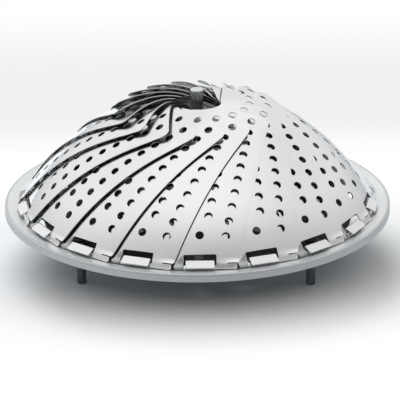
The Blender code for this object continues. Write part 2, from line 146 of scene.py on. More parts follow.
def clearOf(points, outlines, gap):
    # Drops the points that lie closer than the gap to any outline.
    keep = np.ones(len(points), bool)
    for outline in outlines:
        low, high = outline.min(0) - gap, outline.max(0) + gap
        near = np.nonzero(((points > low) & (points < high)).all(1))[0]
        spans = points[near][:, None] - outline[None]
        keep[near] &= (spans ** 2).sum(-1).min(1) > gap * gap if len(near) else True
    return points[keep]


# Meshes

def addMesh(name, points, faces, normals=None, flat=None):
    mesh = bpy.data.meshes.new(name)
    mesh.from_pydata(points.tolist(), [], [face for block in faces for face in block.tolist()])
    mesh.shade_smooth()
    if flat is not None:  # the unbent sheet is the map of its surface
        corner = np.empty(len(mesh.loops), np.int32)
        mesh.loops.foreach_get("vertex_index", corner)
        sheetMap = mesh.uv_layers.new(name="sheet")
        sheetMap.data.foreach_set("uv", (flat[corner] * mapScale).ravel())
    if normals is None:
        mesh.set_sharp_from_angle(angle=sharpAngle)
    else:
        mesh.normals_split_custom_set_from_vertices(normals.tolist())
    piece = bpy.data.objects.new(name, mesh)
    bpy.context.scene.collection.objects.link(piece)
    return piece


def fillSheet(outlines, inner):
    # Triangles between the outlines through the inner points.
    points = np.concatenate(outlines + [inner])
    starts = np.cumsum([0] + [len(outline) for outline in outlines])
    edges = [
        np.column_stack([np.arange(a, b), np.r_[a + 1:b, a]])
        for a, b in zip(starts, starts[1:])
    ]
    scaled = points / mm
    wholeHull, mergeWithin = 0, 1e-5  # points closer than this, in mm, become one
    places, edges = scaled.tolist(), np.concatenate(edges).tolist()
    found = delaunay_2d_cdt(places, edges, [], wholeHull, mergeWithin)
    triangles = np.array(found[2])
    a, b, c = (scaled[triangles[:, i]] for i in range(3))
    turn = (b[:, 0] - a[:, 0]) * (c[:, 1] - a[:, 1]) - (b[:, 1] - a[:, 1]) * (c[:, 0] - a[:, 0])
    triangles = np.where(turn[:, None] > 0, triangles, triangles[:, ::-1])
    return triangles[insideOf((a + b + c) / 3, [outline / mm for outline in outlines])]


def bridge(here, following, starts, ends):
    # A band of quads from each row of vertices to the next one.
    return [
        np.column_stack([a + here, b + here, b + following, a + following])
        for a, b in zip(starts, ends)
    ]


def bentSheet(surface, outlines, inner, thickness, edge, steps=3, under=(0, 0)):
    # surface(flat) gives each flat point's place and normal once it is bent. Both faces lie
    # half the thickness to either side, and every cut edge is rounded by a quarter turn at
    # each face: place + outward * edge * sin(t) + normal * (thickness / 2 - edge + edge * cos(t)).
    # The lower face lies apart from the upper one on the map of the surface, by under.
    rim = np.concatenate(outlines)
    ahead = np.concatenate([unit(np.roll(o, -1, 0) - np.roll(o, 1, 0)) for o in outlines])
    outward = -leftOf(ahead)
    starts = np.cumsum([0] + [len(outline) for outline in outlines])
    inset = [(rim - outward * edge)[a:b] for a, b in zip(starts, starts[1:])]
    triangles = fillSheet(inset, inner)
    flat = np.concatenate(inset + [inner])
    middle, normal = surface(flat)
    rimMiddle, rimNormal = surface(rim - outward * edge)
    away = unit(surface(rim - outward * (edge - small))[0] - rimMiddle)
    turns = np.linspace(0, math.pi / 2, steps + 1)[1:]
    rows, rowNormals = [], []
    for side, order in ((1, turns), (-1, turns[::-1])):
        for turn in order:
            lift = side * (thickness / 2 - edge + edge * math.cos(turn))
            rows.append(rimMiddle + away * edge * math.sin(turn) + rimNormal * lift)
            rowNormals.append(away * math.sin(turn) + rimNormal * side * math.cos(turn))
    lift = normal * thickness / 2
    points = np.concatenate([middle + lift, middle - lift] + rows)
    normals = np.concatenate([normal, -normal] + rowNormals)
    here = np.arange(len(rim))
    following = np.concatenate([np.r_[a + 1:b, a] for a, b in zip(starts, starts[1:])])
    bases = [0] + [2 * len(flat) + len(rim) * i for i in range(len(rows))] + [len(flat)]
    faces = [triangles, triangles[:, ::-1] + len(flat)] + bridge(here, following, bases, bases[1:])
    flatAll = np.concatenate([flat, flat + under] + [rim] * steps + [rim + under] * steps)
    return points, faces, normals, flatAll


def roundRings(pairs, sides):
    # Each (radius, height) is carried round +z: (r cos a, r sin a, h). Either of them can
    # be one number or one for each side.
    angles = np.arange(sides) * 2 * math.pi / sides
    x, y = np.cos(angles), np.sin(angles)
    return [np.column_stack([r * x, r * y, np.zeros(sides) + h]) for r, h in pairs]


def joinRings(count, sides, closed=False):
    # Joins the rings from the upper one down. Closed, the last one meets the first; open,
    # the end rings meet the two poles, whose points follow those of the rings.
    here, following = np.arange(sides), np.r_[1:sides, 0]
    starts = np.arange(count) * sides
    if closed:
        return bridge(here, following, starts, np.roll(starts, -1))
    pole, last = count * sides, starts[-1]
    top = np.column_stack([np.full(sides, pole), here, following])
    bottom = np.column_stack([np.full(sides, pole + 1), last + following, last + here])
    return bridge(here, following, starts, starts[1:]) + [top, bottom]


def turnedMesh(corners, sides, closed=False):
    # A profile (radius, height) turned about +z. It runs down its outer side, and where it
    # is open it starts and ends on the axis.
    profile, travel = filleted(corners, filletSteps, closed)
    body = slice(None) if closed else slice(1, -1)
    rings = roundRings(profile[body], sides)
    normals = roundRings(leftOf(travel)[body], sides)
    faces = joinRings(len(rings), sides, closed)
    if not closed:
        rings.append(np.array([[0, 0, profile[0, 1]], [0, 0, profile[-1, 1]]]))
        normals.append(np.array([[0, 0, 1], [0, 0, -1]]))
    return np.concatenate(rings), faces, np.concatenate(normals)


def moved(points, normals, matrix):
    turn = np.array(matrix.to_3x3())
    return points @ turn.T + np.array(matrix.translation), normals @ turn.T


def aroundAxis(angle, out=0.0):
    # From the middle to a place at that angle from the front, anticlockwise from above.
    return Matrix.Rotation(angle, 4, "Z") @ Matrix.Translation((0, -out, 0))


# Shader writing

class Field:
    # A shader value: each arithmetic operator on it adds a Math node.
    def __init__(self, tree, socket):
        self.tree, self.socket = tree, socket

    def math(self, operation, *others):
        made = self.tree.nodes.new("ShaderNodeMath")
        made.operation = operation
        for place, value in zip(made.inputs, (self,) + others):
            plug(self.tree, place, value)
        return Field(self.tree, made.outputs[0])

    def __add__(self, other):
        return self.math("ADD", other)

    def __radd__(self, other):
        return self.math("ADD", other)

    def __sub__(self, other):
        return self.math("SUBTRACT", other)

    def __rsub__(self, other):
        return self * -1 + other

    def __mul__(self, other):
        return self.math("MULTIPLY", other)

    def __rmul__(self, other):
        return self.math("MULTIPLY", other)

    def between(self, low, high):
        # Rises smoothly from 0 at low to 1 at high.
        settings = {"interpolation_type": "SMOOTHSTEP"}
        values = {"Value": self, "From Min": low, "From Max": high}
        return addNode(self.tree, "ShaderNodeMapRange", settings, values)["Result"]


def plug(tree, place, value):
    if isinstance(value, Field):
        tree.links.new(value.socket, place)
    else:
        place.default_value = value


def addNode(tree, kind, settings=None, values=None):
    # Any node: its settings first, then its sockets; returns its outputs by name.
    made = tree.nodes.new(kind)
    for name, value in (settings or {}).items():
        setattr(made, name, value)
    for name, value in (values or {}).items():
        plug(tree, made.inputs[name], value)
    return {out.name: Field(tree, out) for out in made.outputs if out.enabled}


def blendColours(tree, share, first, second):
    made = tree.nodes.new("ShaderNodeMix")
    made.data_type = "RGBA"
    plug(tree, made.inputs["Factor"], share)
    colours = [place for place in made.inputs if place.type == "RGBA"]
    for place, colour in zip(colours, (first, second)):
        plug(tree, place, colour if isinstance(colour, Field) else (*colour, 1))
    return Field(tree, next(out for out in made.outputs if out.type == "RGBA"))


def newMaterial(name):
    material = bpy.data.materials.new(name)
    material.use_nodes = True
    tree = material.node_tree
    tree.nodes.clear()
    return material, tree


def leafZones(tree, place, look):
    # The leaf's inner face, far off on its map, is a little rougher and painted dark, as shade
    # between the leaves. The corner of its heel, below a slanting line from the window's corner,
    # is pressed back and painted darker, as shade: its height falls evenly from that line. Each
    # leaf's map lies a step beyond the last one's, and is wrapped back to the first.
    parts = addNode(tree, "ShaderNodeSeparateXYZ", values={"Vector": place})
    halfStep, reach, sharp = look["mapStep"] / 2, look["heelReach"], look["sharp"]
    across = (parts["X"] + halfStep).math("WRAP", look["mapStep"], 0.0) - halfStep
    under = parts["Y"].between(*look["underBorder"])
    beyond = (look["heelLine"] + across * look["heelSlant"] - parts["Y"]).math("MAXIMUM", 0.0)
    heel = 1 - across.between(-reach - sharp, -reach + sharp)
    pressed = beyond.between(0.0, look["heelBlend"]) * heel * (1 - under)
    # The inner face's colour and the heel's colour are painted shade.
    areas = [(under, look["shadeColour"], look["plainRough"]), (pressed, look["heel"], 0.0)]
    return areas, beyond * heel * -look["heelFall"]


def dishZones(tree, place, look):
    # By the length along the section: the bowl is painted dark, as shade under the leaves; the
    # rim's bend is burnished and painted darker, as shade; and the skirt is painted darker, as
    # shade. The tabs lie past the skirt on the map, and are polished.
    length = addNode(tree, "ShaderNodeVectorMath", {"operation": "LENGTH"}, {0: place})["Value"]
    sharp, soft = look["sharp"], look["soft"]
    bowl = 1 - length.between(look["bowlEnd"] - soft, look["bowlEnd"])
    past = length.between(look["bendEnd"], look["bendEnd"] + sharp)
    bend = length.between(look["bendStart"], look["bendStart"] + sharp) * (1 - past)
    tab = length.between(look["tabStart"] - soft, look["tabStart"])
    # The bowl's, the bend's and the skirt's colours are painted shade.
    areas = [
        (bowl, look["shadeColour"], 0.0),
        (bend, look["bend"], -look["burnish"]),
        (past * (1 - tab), look["skirt"], 0.0),
        (tab, look["tab"], -look["burnish"]),
    ]
    return areas, None


def steelFinish(name, look):
    # Rolled and polished steel: fine grain along the sheet, soft clouds in its polish,
    # and a slight unevenness that bends what it reflects. Its zones give areas, each with
    # a share, a colour and what it adds to the roughness, and a relief.
    material, tree = newMaterial(name)
    inSpace = addNode(tree, "ShaderNodeTexCoord")["Object"]

    def mapped(vector, scale):
        values = {"Vector": vector, "Scale": scale}
        return addNode(tree, "ShaderNodeMapping", values=values)["Vector"]

    def noise(vector, scale, detail, **more):
        values = {"Vector": vector, "Scale": scale, "Detail": detail, **more}
        return addNode(tree, "ShaderNodeTexNoise", values=values)["Fac"]

    areas, relief = (), None
    if look["zones"]:
        place = addNode(tree, "ShaderNodeUVMap", {"uv_map": "sheet"})["UV"]
        areas, relief = look["zones"](tree, place, look)
    else:
        place = mapped(inSpace, (mapScale,) * 3)
    along = mapped(place, look["grainScale"])
    grain = noise(along, 1.0, look["grainDetail"], Roughness=look["grainRoughness"])
    clouds = noise(inSpace, look["cloudScale"], look["cloudDetail"])
    dents = noise(inSpace, look["dentScale"], look["dentDetail"])
    clouded, spread = look["cloudShare"], look["roughSpread"]
    tone = clouds.between(*look["cloudRange"]) * clouded + grain * (1 - clouded)
    colour = blendColours(tree, tone, look["dull"], look["bright"])
    rough = clouds * spread + grain * spread + (look["rough"] - spread)
    # Blends in the zones' colours; those of the leaf's inner face, heel, bowl, bend and skirt are
    # painted shade.
    for share, dimmed, extra in areas:
        colour = blendColours(tree, share, colour, dimmed)
        rough = rough + share * extra
    height = grain * look["grainDepth"] + dents * look["dentDepth"]
    if relief is not None:
        height = height + relief
    values = {"Strength": 1.0, "Distance": 1.0, "Height": height}
    bump = addNode(tree, "ShaderNodeBump", values=values)["Normal"]
    values = {"Base Color": colour, "Roughness": rough, "Metallic": look["metallic"]}
    values["Normal"] = bump
    shader = addNode(tree, "ShaderNodeBsdfPrincipled", values=values)["BSDF"]
    addNode(tree, "ShaderNodeOutputMaterial", values={"Surface": shader})
    return material


# Camera, placed by fitting the rim, the holes and the feet in the photograph
cameraPlace = {
    "distance": 1084.5 * mm,
    "elevation": 21.6 * degrees,
    "orbit": -0.7 * degrees,
    "aimHeight": 33.03 * mm,
    "pitch": 21.79 * degrees,
    "yaw": 0.07 * degrees,
    "roll": -0.31 * degrees,
    "lens": 208.5,
    "sensor": 36.0,
    "clip": (10 * mm, 20.0),
}


def addCamera(place):
    # Built looking along +y, then pitched down, turned about z and rolled about its own
    # axis; last of all it swings round the basket.
    data = bpy.data.cameras.new("portrait")
    data.lens, data.sensor_width = place["lens"], place["sensor"]
    data.clip_start, data.clip_end = place["clip"]
    camera = bpy.data.objects.new("portrait", data)
    bpy.context.scene.collection.objects.link(camera)
    level = Matrix.Rotation(math.pi / 2 - place["pitch"], 4, "X")
    turn = Matrix.Rotation(-place["yaw"], 4, "Z") @ level @ Matrix.Rotation(place["roll"], 4, "Z")
    reach, rise = math.cos(place["elevation"]), math.sin(place["elevation"])
    spot = (0, -place["distance"] * reach, place["distance"] * rise + place["aimHeight"])
    camera.matrix_world = Matrix.Rotation(place["orbit"], 4, "Z") @ Matrix.Translation(spot) @ turn
    bpy.context.scene.camera = camera


addCamera(cameraPlace)
print("camera placed")


# Finishes. Those of the sheets change with the place on the unbent sheet, and the borders
# of their zones are in tenths of a metre, as the maps of the surfaces are
washerLook = {"bright": (0.60, 0.61, 0.62), "dull": (0.52, 0.53, 0.54), "rough": 0.32}
steelLooks = {
    "dish_steel": {
        "bright": (0.88, 0.90, 0.91),
        "dull": (0.78, 0.80, 0.81),
        "rough": 0.44,
        "metallic": 0.72,
        "zones": dishZones,
        # The bowl's dark colour is painted shade under the leaves.
        "shadeColour": (0.27, 0.275, 0.28),
        "bowlEnd": 0.80,
        # The bend's darker colour is painted shade at the rim's crease.
        "bend": (0.60, 0.62, 0.63),
        "bendStart": 0.909,
        "bendEnd": 0.921,
        # The skirt's darker colour is painted shade, for the shadowed floor it mirrors.
        "skirt": (0.60, 0.615, 0.625),
        "tab": (0.93, 0.94, 0.95),
        "tabStart": 1.1,
        "burnish": 0.26,
    },
    "leaf_steel": {
        "bright": (0.94, 0.945, 0.955),
        "dull": (0.88, 0.89, 0.90),
        "rough": 0.18,
        "zones": leafZones,
        "mapStep": 3.1,
        "underShift": 50.0,
        "underBorder": (20.0, 21.0),
        # The inner face's colour is painted shade for the dim hollow between the leaves.
        "shadeColour": (0.27, 0.275, 0.28),
        "plainRough": 0.15,
        # The heel's darker colour is painted shade on its pressed facet.
        "heel": (0.50, 0.51, 0.52),
        "heelFall": 10.0 * mm,
        "heelSlant": 0.98,
        "heelLine": 0.130,
        "heelReach": 0.074,
        "heelBlend": 0.006,
    },
    # The legs' dark colour is painted shade under the dish.
    "leg_steel": {"bright": (0.24, 0.25, 0.26), "dull": (0.18, 0.19, 0.20), "rough": 0.28},
    "washer_steel": washerLook,
    "post_steel": {"bright": (0.84, 0.85, 0.86), "dull": (0.76, 0.77, 0.78), "rough": 0.2},
    "post_washer_steel": washerLook,
    "nut_steel": washerLook,
}
polish = {
    "metallic": 1.0,
    "zones": None,
    "sharp": 0.004,
    "soft": 0.02,
    "grainScale": (260, 9, 9),
    "grainDetail": 3.0,
    "grainRoughness": 0.6,
    "grainDepth": 0.0015 * mm,
    "cloudScale": 28.0,
    "cloudDetail": 2.0,
    "cloudRange": (0.3, 0.7),
    "cloudShare": 0.7,
    "dentScale": 42.0,
    "dentDetail": 1.0,
    "dentDepth": 0.08 * mm,
    "roughSpread": 0.05,
}
finishes = {name: steelFinish(name, {**polish, **look}) for name, look in steelLooks.items()}


def dress(piece, finish, body, node):
    piece.data.materials.append(finishes[finish])
    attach(piece, body)
    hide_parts(node)


print("finishes mixed")

# The leaf as a flat blank, x across and s along it from its hinge line, and its pressing
leafForm = {
    "sheet": 0.5 * mm,
    "edge": 0.13 * mm,
    "hingeRadius": 81.8 * mm,
    "hingeHeight": 30.15 * mm,
    "tipRadius": 11.0 * mm,
    "baseSlope": 57.7 * degrees,
    "tipSlope": 9.6 * degrees,
    "flare": 11.7 * degrees,
    "stripOverlap": 1.8 * mm,
    "heelInset": 2.9 * mm,
    "footOverlap": 2.6 * mm,
    "stripHalf": 0.85 * mm,
    "slitBottom": 1.6 * mm,
    "slitTop": 2.0 * mm,
    "slitLength": 5.0 * mm,
    "heelBottom": 1.3 * mm,
    "heelTop": 2.6 * mm,
    "tipDepth": 8.2 * mm,
    "shoulderFillet": 3.0 * mm,
    "tipFillet": 5.0 * mm,
    "heelFillet": 1.0 * mm,
    "stripFillet": 1.0 * mm,
    "slitFillet": 0.15 * mm,
    "windowHalf": 7.2 * mm,
    "windowTop": 5.7 * mm,
    "windowFillet": 0.5 * mm,
    "crossRadius": 90.0 * mm,
    "tipCrossRadius": 60.0 * mm,
    "spacing": 1.6 * mm,
    "tiltRise": 2.0 * mm,
    "hollowLead": 1.0 * mm,
    "hollowRise": 5.0 * mm,
    "holeRadius": 1.85 * mm,
    "footHole": 14.4 * mm,
    "outerStart": 13.85 * mm,
    "outerPitch": 7.0 * mm,
    "outerCount": 10,
    "outerInset": 8.0 * mm,
    "innerStart": 23.15 * mm,
    "innerPitch": 7.12 * mm,
    "innerCount": 9,
    "innerOffset": 4.05 * mm,
    "innerSpread": 0.21,
    "holeSides": 20,
    "cornerSteps": 8,
    "windowSteps": 3,
    "mesh": 1.6 * mm,
    "meshGap": 0.55,
}
leafReach = leafForm["hingeRadius"] - leafForm["tipRadius"]
leafArc = leafReach / (math.sin(leafForm["baseSlope"]) - math.sin(leafForm["tipSlope"]))
leafLength = leafArc * (leafForm["baseSlope"] - leafForm["tipSlope"])
halfPitch = leafForm["hingeRadius"] * math.tan(leafPitch / 2)


def leafEdge(station):
    # Half the leaf's width: it grows evenly from its foot to its shoulder.
    foot = halfPitch + leafForm["footOverlap"]
    return foot + math.tan(leafForm["flare"]) * (station - leafForm["slitTop"])


def leafBlank(form):
    shoulder = leafLength - form["tipDepth"]
    strip, foot = halfPitch + form["stripOverlap"], halfPitch + form["footOverlap"]
    heel, slitEnd = form["heelInset"] - halfPitch, foot - form["slitLength"]
    corners = [
        (strip, -form["stripHalf"], form["stripFillet"]),
        (strip, form["slitBottom"], form["slitFillet"]),
        (slitEnd, form["slitBottom"], form["slitFillet"]),
        (slitEnd, form["slitTop"], form["slitFillet"]),
        (foot, form["slitTop"], form["stripFillet"]),
        (leafEdge(shoulder), shoulder, form["shoulderFillet"]),
        (0, leafLength, form["tipFillet"]),
        (-leafEdge(shoulder), shoulder, form["shoulderFillet"]),
        (-leafEdge(form["heelTop"]), form["heelTop"], form["heelFillet"]),
        (heel, form["heelBottom"], form["heelFillet"]),
        (heel, -form["stripHalf"], form["heelFillet"]),
    ]
    half, low, high = form["windowHalf"], form["stripHalf"], form["windowTop"]
    window = ((-half, low), (-half, high), (half, high), (half, low))
    window = [(x, s, form["windowFillet"]) for x, s in window]
    outer = form["outerStart"] + form["outerPitch"] * np.arange(form["outerCount"])
    inner = form["innerStart"] + form["innerPitch"] * np.arange(form["innerCount"])
    outerAcross = leafEdge(outer) - form["outerInset"]
    innerAcross = form["innerOffset"] + form["innerSpread"] * (inner - form["innerStart"])
    right = np.column_stack([np.r_[outerAcross, innerAcross], np.r_[outer, inner]])
    centres = np.concatenate([[[0, form["footHole"]]], right, right * (-1, 1)])
    edge = outlineOf(corners, form["cornerSteps"], form["mesh"])
    opening = outlineOf(window, form["windowSteps"], form["mesh"])
    return [edge, opening] + roundHoles(centres, form["holeRadius"], form["holeSides"])


def leafSurface(flat):
    # The blank bends along its length in one arc, and across it in a hollow that deepens
    # towards the tip. Each cross line is turned by the tilt, so that one leaf's pitch along
    # it lifts the right side by the spacing, over the next leaf. The normal is the cross
    # product of the slopes both ways.
    form = leafForm

    def press(across, station):
        share = station / leafLength
        slope = form["baseSlope"] - station / leafArc
        inward = leafArc * (math.sin(form["baseSlope"]) - np.sin(slope)) - form["hingeRadius"]
        pitch = -2 * halfPitch * inward / form["hingeRadius"]
        rise = leafArc * (np.cos(slope) - math.cos(form["baseSlope"])) + form["hingeHeight"]
        tilt = np.arcsin(form["spacing"] / pitch) * ease(station / form["tiltRise"])
        hollow = ease((station + form["hollowLead"]) / form["hollowRise"]) / form["crossRadius"]
        hollow = hollow * (1 + (form["crossRadius"] / form["tipCrossRadius"] - 1) * share ** 3)
        turn = hollow * across
        side = across * np.sinc(turn / math.pi)
        drop = -side * np.tan(turn / 2)
        lateral = side * np.cos(tilt) - drop * np.sin(tilt)
        outward = side * np.sin(tilt) + drop * np.cos(tilt)
        ahead, up = -outward * np.sin(slope), outward * np.cos(slope)
        return np.column_stack([lateral, inward + ahead, rise + up])

    across, station = flat.T
    widthways = press(across + small, station) - press(across - small, station)
    lengthways = press(across, station + small) - press(across, station - small)
    return press(across, station), unit(np.cross(widthways, lengthways))


def sheetGrid(outlines, step, gap):
    # Staggered rows of points over the outline's box, clear of every edge.
    low, high = outlines[0].min(0), outlines[0].max(0)
    rows = np.arange(low[1], high[1], step * math.sqrt(3) / 2)
    columns = np.arange(low[0], high[0], step)
    x = columns[None] + (np.arange(len(rows)) % 2 * step / 2)[:, None]
    grid = np.column_stack([x.ravel(), np.repeat(rows, len(columns))])
    return clearOf(grid[insideOf(grid, outlines)], outlines, step * gap)


def makeLeaves(form, look):
    outlines = leafBlank(form)
    inner = sheetGrid(outlines, form["mesh"], form["meshGap"])
    under = (0, look["underShift"] / mapScale)
    sheet = bentSheet(leafSurface, outlines, inner, form["sheet"], form["edge"], under=under)
    points, faces, normals, flat = sheet
    for index, name in enumerate(leafNames):
        place, facing = moved(points, normals, aroundAxis(index * leafPitch))
        onMap = flat + (index * look["mapStep"] / mapScale, 0)
        leaf = addMesh(name.replace("leaf_", "steel_leaf_"), place, faces, facing, onMap)
        dress(leaf, "leaf_steel", name, name)
    count = sum(len(rows) for rows in faces)
    print("leaves pressed:", len(leafNames), "with", count, "faces each")


makeLeaves(leafForm, steelLooks["leaf_steel"])

# The dish: its section from the centre outward, its holes, and the tabs of the hinges
dishForm = {
    "sheet": 0.6 * mm,
    "edge": 0.15 * mm,
    "floorHeight": 20.0 * mm,
    "floorRadius": 64.0 * mm,
    "wallFillet": 0.02 * mm,
    "wallSteps": 25,
    "flangeRadius": 79.8 * mm,
    "flangeHeight": 28.4 * mm,
    "flangeFillet": 1.5 * mm,
    "rimRadius": 90.0 * mm,
    "rimHeight": 30.3 * mm,
    "rimBend": 0.7 * mm,
    "rimStart": 104.5 * degrees,
    "rimFillet": 0.001 * mm,
    "rimSteps": 15,
    "rimGap": 0.4 * mm,
    "skirt": 3.7 * mm,
    "holeRadius": 2.5 * mm,
    "holeSides": 28,
    "ringStep": 16.0 * mm,
    "rings": (6, 12, 18),
    "slotWidth": 12.6 * mm,
    "slotLength": 7.0 * mm,
    "slotEnd": 78.8 * mm,
    "slotFillet": 0.8 * mm,
    "slotSteps": 4,
    "legBoreSides": 24,
    "postBoreSides": 32,
    "around": 540,
    "fewest": 12,
    "evenBand": 2.0 * mm,
    "longest": 2.2 * mm,
    "meshGap": 0.4,
    "turn": 12.0 * degrees,
}
tabForm = {
    "width": 12.6 * mm,
    "rootInset": 0.3 * mm,
    "rootDepth": 0.15 * mm,
    "rootFillet": 0.2 * mm,
    "bend": 0.6 * mm,
    "bendSteps": 13,
    "slope": 26.9 * degrees,
    "endRadius": 84.0 * mm,
    "stripGap": 0.2 * mm,
    "fillet": 0.7 * mm,
    "cornerSteps": 6,
    "mesh": 0.8 * mm,
    "meshGap": 0.4,
}


def dishSection(form):
    # Floor, a wall that rises as the square of its run, flange, rim bend and skirt.
    half = form["sheet"] / 2
    floor, flange = form["floorHeight"] + half, form["flangeHeight"] - half
    run = np.linspace(0, 1, form["wallSteps"])
    wall = np.column_stack([
        form["floorRadius"] + (form["flangeRadius"] - form["floorRadius"]) * run,
        floor + (flange - floor) * run ** 2,
    ])
    outer = form["rimRadius"] - half
    centre = np.array([outer - form["rimBend"], form["rimHeight"] - half - form["rimBend"]])
    turns = np.linspace(form["rimStart"], 0, form["rimSteps"])
    bend = centre + form["rimBend"] * np.column_stack([np.cos(turns), np.sin(turns)])
    corners = [[0, floor, 0]] + [[*p, form["wallFillet"]] for p in wall[:-1]]
    corners += [[*wall[-1], form["flangeFillet"]]] + [[*p, form["rimFillet"]] for p in bend]
    corners += [[outer, form["rimHeight"] - form["skirt"], 0]]
    points, travel = filleted(corners, filletSteps, False)
    lengths = np.r_[0, np.cumsum(np.linalg.norm(np.diff(points, axis=0), axis=1))]
    return lengths, points, np.unwrap(np.arctan2(travel[:, 1], travel[:, 0]))


sectionLengths, sectionPoints, sectionTurns = dishSection(dishForm)


def dishSurface(flat):
    # The distance from the middle of the flat blank is the length along the section, which
    # is carried round: (r, h) of that length, and its normal is a quarter turn from its way.
    length = np.linalg.norm(flat, axis=1)
    way = unit(flat)
    radius = np.interp(length, sectionLengths, sectionPoints[:, 0])
    height = np.interp(length, sectionLengths, sectionPoints[:, 1])
    turn = np.interp(length, sectionLengths, sectionTurns)
    normal = np.column_stack([way * -np.sin(turn)[:, None], np.cos(turn)])
    return np.column_stack([way * radius[:, None], height]), normal


def onBlank(places):
    # The point of the flat blank that ends up at these places, seen from above.
    radius = np.linalg.norm(places, axis=1)
    length = np.interp(radius, sectionPoints[:, 0], sectionLengths)
    return places * (length / radius)[:, None]


def turnedFlat(points, angle):
    # The same flat points, turned anticlockwise about the middle.
    c, s = math.cos(angle), math.sin(angle)
    return points @ np.array([[c, s], [-s, c]])


def dishBlank(form, legSpots, legBore, postBore):
    rimLength = sectionLengths[-1]
    turns = np.arange(form["around"]) * 2 * math.pi / form["around"]
    rim = rimLength * np.column_stack([np.cos(turns), np.sin(turns)])
    half, far = form["slotWidth"] / 2, form["slotEnd"]
    near = far - form["slotLength"]
    slot = ((-half, -near), (half, -near), (half, -far), (-half, -far))
    slot = [(x, y, form["slotFillet"]) for x, y in slot]
    slot = outlineOf(slot, form["slotSteps"], form["longest"])
    slots = [onBlank(turnedFlat(slot, index * leafPitch)) for index in range(len(leafNames))]
    spots = []
    for ring, count in enumerate(form["rings"], 1):
        angles = np.arange(count) * 2 * math.pi / count
        spots.append(form["ringStep"] * ring * np.column_stack([np.sin(angles), -np.cos(angles)]))
    holes = roundHoles(np.concatenate(spots), form["holeRadius"], form["holeSides"])
    holes += roundHoles(legSpots, legBore, form["legBoreSides"])
    holes += roundHoles([np.zeros(2)], postBore, form["postBoreSides"])
    return [rim] + slots + holes


def ringPoints(form, outlines):
    # Rings about the middle, closer together where the section turns. Past the start of
    # the even band, each has as many points as the rim.
    steps = np.diff(sectionLengths) / form["longest"] + np.abs(np.diff(sectionTurns)) / form["turn"]
    spread = np.r_[0, np.cumsum(steps)]
    stations = np.interp(np.arange(1, int(spread[-1])), spread, sectionLengths)
    stations = stations[sectionLengths[-1] - stations >= form["rimGap"]]
    rings = []
    for index, length in enumerate(stations):
        count = max(form["fewest"], round(2 * math.pi * length / form["longest"]))
        stagger = index % 2 / 2
        radius = np.interp(length, sectionLengths, sectionPoints[:, 0])
        if radius > form["flangeRadius"] - form["evenBand"]:
            count, stagger = form["around"], 0
        turns = (np.arange(count) + stagger) * 2 * math.pi / count
        rings.append(length * np.column_stack([np.cos(turns), np.sin(turns)]))
    points = np.concatenate(rings)
    points = points[insideOf(points, outlines)]
    return clearOf(points, outlines[1:], form["longest"] * form["meshGap"])


def tabSection(form):
    # Up from the dish, round a small bend, and down outward over the leaf's bottom strip.
    strip = math.hypot(leafForm["stripHalf"], leafForm["sheet"] / 2)
    clear = strip + form["stripGap"] + dishForm["sheet"] / 2
    root = dishForm["flangeRadius"] - form["rootInset"]
    square = math.pi / 2 - form["slope"]
    middle = root + form["bend"]
    run = (leafForm["hingeRadius"] - middle) * math.cos(square)
    lift = (clear - form["bend"] + run) / math.sin(square)
    centre = np.array([middle, leafForm["hingeHeight"] + lift])
    turns = np.linspace(math.pi, square, form["bendSteps"])
    bend = centre + form["bend"] * np.column_stack([np.cos(turns), np.sin(turns)])
    fall = (form["endRadius"] - bend[-1, 0]) * math.tan(form["slope"])
    start = [root, dishForm["flangeHeight"] - dishForm["sheet"] - form["rootDepth"]]
    points = np.concatenate([[start], bend, [[form["endRadius"], bend[-1, 1] - fall]]])
    ways = np.concatenate([[math.pi / 2], turns - math.pi / 2, [-form["slope"]]])
    lengths = np.r_[0, np.cumsum(np.linalg.norm(np.diff(points, axis=0), axis=1))]
    return lengths, points, ways


def makeDish(form, tab, mapStart, legSpots, legBore, postBore):
    outlines = dishBlank(form, legSpots, legBore, postBore)
    inner = ringPoints(form, outlines)
    sheet = bentSheet(dishSurface, outlines, inner, form["sheet"], form["edge"])
    dress(addMesh("pressed_dish", *sheet), "dish_steel", "base", "dish")
    lengths, points, ways = tabSection(tab)

    def tabSurface(flat):
        # x runs clockwise along the tab's width and y along its section.
        radius, height = (np.interp(flat[:, 1], lengths, points[:, i]) for i in range(2))
        way = np.interp(flat[:, 1], lengths, ways)
        place = np.column_stack([-flat[:, 0], -radius, height])
        return place, np.column_stack([np.zeros(len(flat)), np.sin(way), np.cos(way)])

    half, end = tab["width"] / 2, lengths[-1]
    root, tip = tab["rootFillet"], tab["fillet"]
    corners = [(-half, 0, root), (half, 0, root), (half, end, tip), (-half, end, tip)]
    tabOutlines = [outlineOf(corners, tab["cornerSteps"], tab["mesh"])]
    across = np.arange(-half + tab["mesh"], half - tab["mesh"] / 2, tab["mesh"])
    along = np.r_[lengths[1:-1], np.arange(lengths[-2], end, tab["mesh"])[1:-1]]
    inner = np.column_stack([np.tile(across, len(along)), np.repeat(along, len(across))])
    inner = clearOf(inner, tabOutlines, tab["mesh"] * tab["meshGap"])
    sheet = bentSheet(tabSurface, tabOutlines, inner, form["sheet"], form["edge"])
    place, faces, normals, flat = sheet
    for index in range(len(leafNames)):
        spot, facing = moved(place, normals, aroundAxis(index * leafPitch))
        onMap = turnedFlat(flat + (0, mapStart), index * leafPitch)
        piece = addMesh(f"hinge_tab_{index + 1:02d}", spot, faces, facing, onMap)
        dress(piece, "dish_steel", "base", "dish")
    print("dish and tabs pressed")


